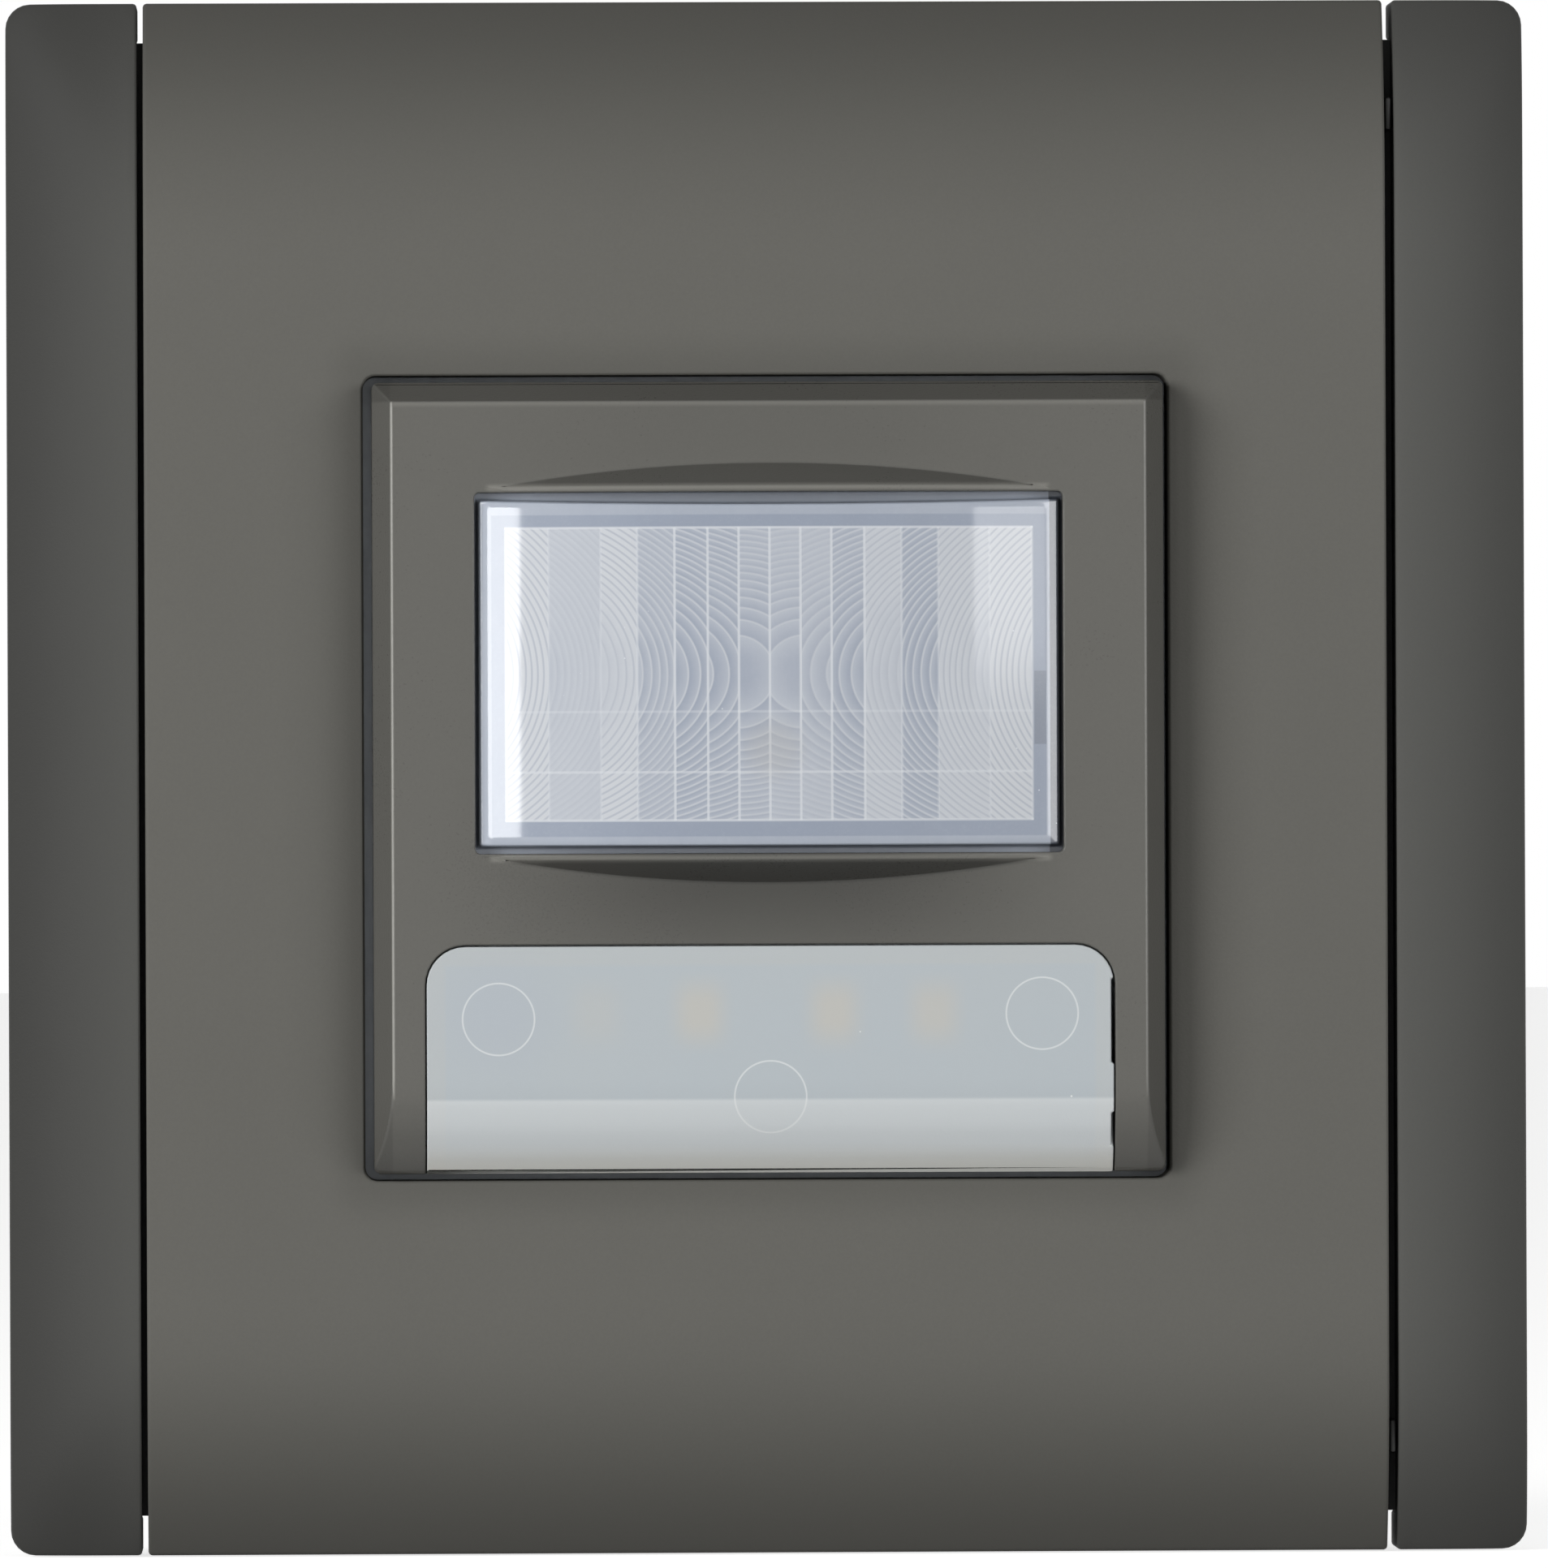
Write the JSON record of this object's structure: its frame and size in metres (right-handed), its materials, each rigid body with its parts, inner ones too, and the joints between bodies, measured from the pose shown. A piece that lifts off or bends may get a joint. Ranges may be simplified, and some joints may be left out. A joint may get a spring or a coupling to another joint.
{
  "type": "motion sensor light switch",
  "caption": "Square flush-mounted wall switch with a bulging motion sensor lens and a frosted night-light window in a raised cover.",
  "frame": {"origin": "middle of the wall plane, which is the back face of the steel support ring", "axes": "the switch faces -Y, its wall-box side is +Y and its top is +Z"},
  "size_m": [0.0866, 0.0408, 0.0886],
  "materials": {
    "warm_grey_plastic": "fine matt grain",
    "cool_grey_plastic": "fine matt grain, a shade cooler",
    "dark_plastic": "plain moulded",
    "lens_plastic": "cloudy bluish white, faintly glossy",
    "frosted_plastic": "frosted, faintly translucent",
    "white_plastic": "plain moulded white",
    "housing_plastic": "plain moulded pale grey",
    "galvanised_steel": "zinc plated",
    "brass": "bare brass",
    "copper_wire": "lacquered copper",
    "board_green": "solder mask over glass fibre",
    "black_moulding": "moulded black",
    "relay_blue": "moulded blue",
    "capacitor_yellow": "moulded yellow",
    "capacitor_can": "bright can",
    "resistor_coat": "lacquered body",
    "clear_lamp": "clear epoxy with a warm chip",
    "sensing_ceramic": "fired ceramic",
    "adjuster_plastic": "natural nylon"
  },
  "bodies": {
    "mechanism": {"support_ring": "galvanised_steel", "housing_front": "dark_plastic", "housing_rear": "housing_plastic", "housing_screws": "galvanised_steel", "sensor_board": "board_green", "power_board": "board_green", "header_block": "black_moulding", "header_pins": "galvanised_steel", "pir_base": "galvanised_steel", "pir_can": "galvanised_steel", "pir_window": "black_moulding", "pir_elements": "sensing_ceramic", "light_sensor": "clear_lamp", "night_light_lamps": "clear_lamp", "control_chip": "black_moulding", "trimmer_bodies": "white_plastic", "relay_base": "black_moulding", "relay_case": "relay_blue", "relay_bobbin": "white_plastic", "relay_coil": "copper_wire", "relay_core": "galvanised_steel", "relay_yoke": "galvanised_steel", "relay_fixed_contact": "brass", "film_capacitor": "capacitor_yellow", "smoothing_capacitor": "capacitor_can", "varistor": "relay_blue", "inductor": "copper_wire", "fuse_resistor": "resistor_coat", "bridge_rectifier": "black_moulding", "terminal_block": "housing_plastic", "terminal_jaws": "brass", "claw_pins": "galvanised_steel"},
    "decor_frame": {"frame_base": "dark_plastic", "centre_panel": "warm_grey_plastic", "side_strip_left": "cool_grey_plastic", "side_strip_right": "cool_grey_plastic"},
    "front_cover": {"insert_cover": "warm_grey_plastic", "fresnel_lens": "lens_plastic", "lens_retainer": "dark_plastic", "light_window": "frosted_plastic", "light_tray": "white_plastic"},
    "time_adjuster": {"time_trimmer_rotor": "adjuster_plastic"},
    "lux_adjuster": {"lux_trimmer_rotor": "adjuster_plastic"},
    "armature": {"relay_armature": "galvanised_steel", "relay_contact_arm": "brass"},
    "terminal_screw_live": {"terminal_screw_live": "galvanised_steel"},
    "terminal_cage_live": {"terminal_cage_live": "galvanised_steel"},
    "terminal_screw_neutral": {"terminal_screw_neutral": "galvanised_steel"},
    "terminal_cage_neutral": {"terminal_cage_neutral": "galvanised_steel"},
    "terminal_screw_load": {"terminal_screw_load": "galvanised_steel"},
    "terminal_cage_load": {"terminal_cage_load": "galvanised_steel"},
    "claw_left": {"claw_left": "galvanised_steel"},
    "claw_screw_left": {"claw_screw_left": "galvanised_steel"},
    "claw_right": {"claw_right": "galvanised_steel"},
    "claw_screw_right": {"claw_screw_right": "galvanised_steel"}
  },
  "joints": [
    {"name": "cover_pull_off", "type": "slide", "parent": "mechanism", "child": "front_cover", "axis": [0, -1, 0], "range_m": [0, 0.02]},
    {"name": "frame_pull_off", "type": "slide", "parent": "mechanism", "child": "decor_frame", "axis": [0, -1, 0], "range_m": [0, 0.025]},
    {"name": "time_adjust", "type": "hinge", "parent": "mechanism", "child": "time_adjuster", "pos_m": [-0.013, -0.005, -0.0036], "axis": [0, -1, 0], "range_deg": [-135, 135]},
    {"name": "lux_adjust", "type": "hinge", "parent": "mechanism", "child": "lux_adjuster", "pos_m": [0.013, -0.005, -0.0036], "axis": [0, -1, 0], "range_deg": [-135, 135]},
    {"name": "relay_pull_in", "type": "hinge", "parent": "mechanism", "child": "armature", "pos_m": [-0.0127, 0.01975, 0.00725], "axis": [0, 0, -1], "range_deg": [0, 5.5], "stiffness_Nm_per_rad": 0.002},
    {"name": "terminal_turn_live", "type": "hinge", "parent": "mechanism", "child": "terminal_screw_live", "pos_m": [-0.0086, 0.0196, -0.0172], "axis": [0, 0, 1], "range_deg": [0, 2160]},
    {"name": "terminal_clamp_live", "type": "slide", "parent": "mechanism", "child": "terminal_cage_live", "axis": [0, 0, -1], "range_m": [0, 0.003]},
    {"name": "terminal_turn_neutral", "type": "hinge", "parent": "mechanism", "child": "terminal_screw_neutral", "pos_m": [0, 0.0196, -0.0172], "axis": [0, 0, 1], "range_deg": [0, 2160]},
    {"name": "terminal_clamp_neutral", "type": "slide", "parent": "mechanism", "child": "terminal_cage_neutral", "axis": [0, 0, -1], "range_m": [0, 0.003]},
    {"name": "terminal_turn_load", "type": "hinge", "parent": "mechanism", "child": "terminal_screw_load", "pos_m": [0.0086, 0.0196, -0.0172], "axis": [0, 0, 1], "range_deg": [0, 2160]},
    {"name": "terminal_clamp_load", "type": "slide", "parent": "mechanism", "child": "terminal_cage_load", "axis": [0, 0, -1], "range_m": [0, 0.003]},
    {"name": "claw_turn_left", "type": "hinge", "parent": "mechanism", "child": "claw_screw_left", "pos_m": [-0.0254, -0.0012, -0.008], "axis": [0, 1, 0], "range_deg": [0, 3600]},
    {"name": "claw_spread_left", "type": "hinge", "parent": "mechanism", "child": "claw_left", "pos_m": [-0.0223, 0.0026, -0.008], "axis": [0, 0, 1], "range_deg": [0, 24]},
    {"name": "claw_turn_right", "type": "hinge", "parent": "mechanism", "child": "claw_screw_right", "pos_m": [0.0254, -0.0012, 0.008], "axis": [0, 1, 0], "range_deg": [0, 3600]},
    {"name": "claw_spread_right", "type": "hinge", "parent": "mechanism", "child": "claw_right", "pos_m": [0.0223, 0.0026, 0.008], "axis": [0, 0, -1], "range_deg": [0, 24]}
  ],
  "couplings": [
    {"joint": "terminal_turn_live", "follows": "terminal_clamp_live", "rad_per_m": 12566},
    {"joint": "terminal_turn_neutral", "follows": "terminal_clamp_neutral", "rad_per_m": 12566},
    {"joint": "terminal_turn_load", "follows": "terminal_clamp_load", "rad_per_m": 12566},
    {"joint": "claw_turn_left", "follows": "claw_spread_left", "ratio": 150},
    {"joint": "claw_turn_right", "follows": "claw_spread_right", "ratio": 150}
  ]
}
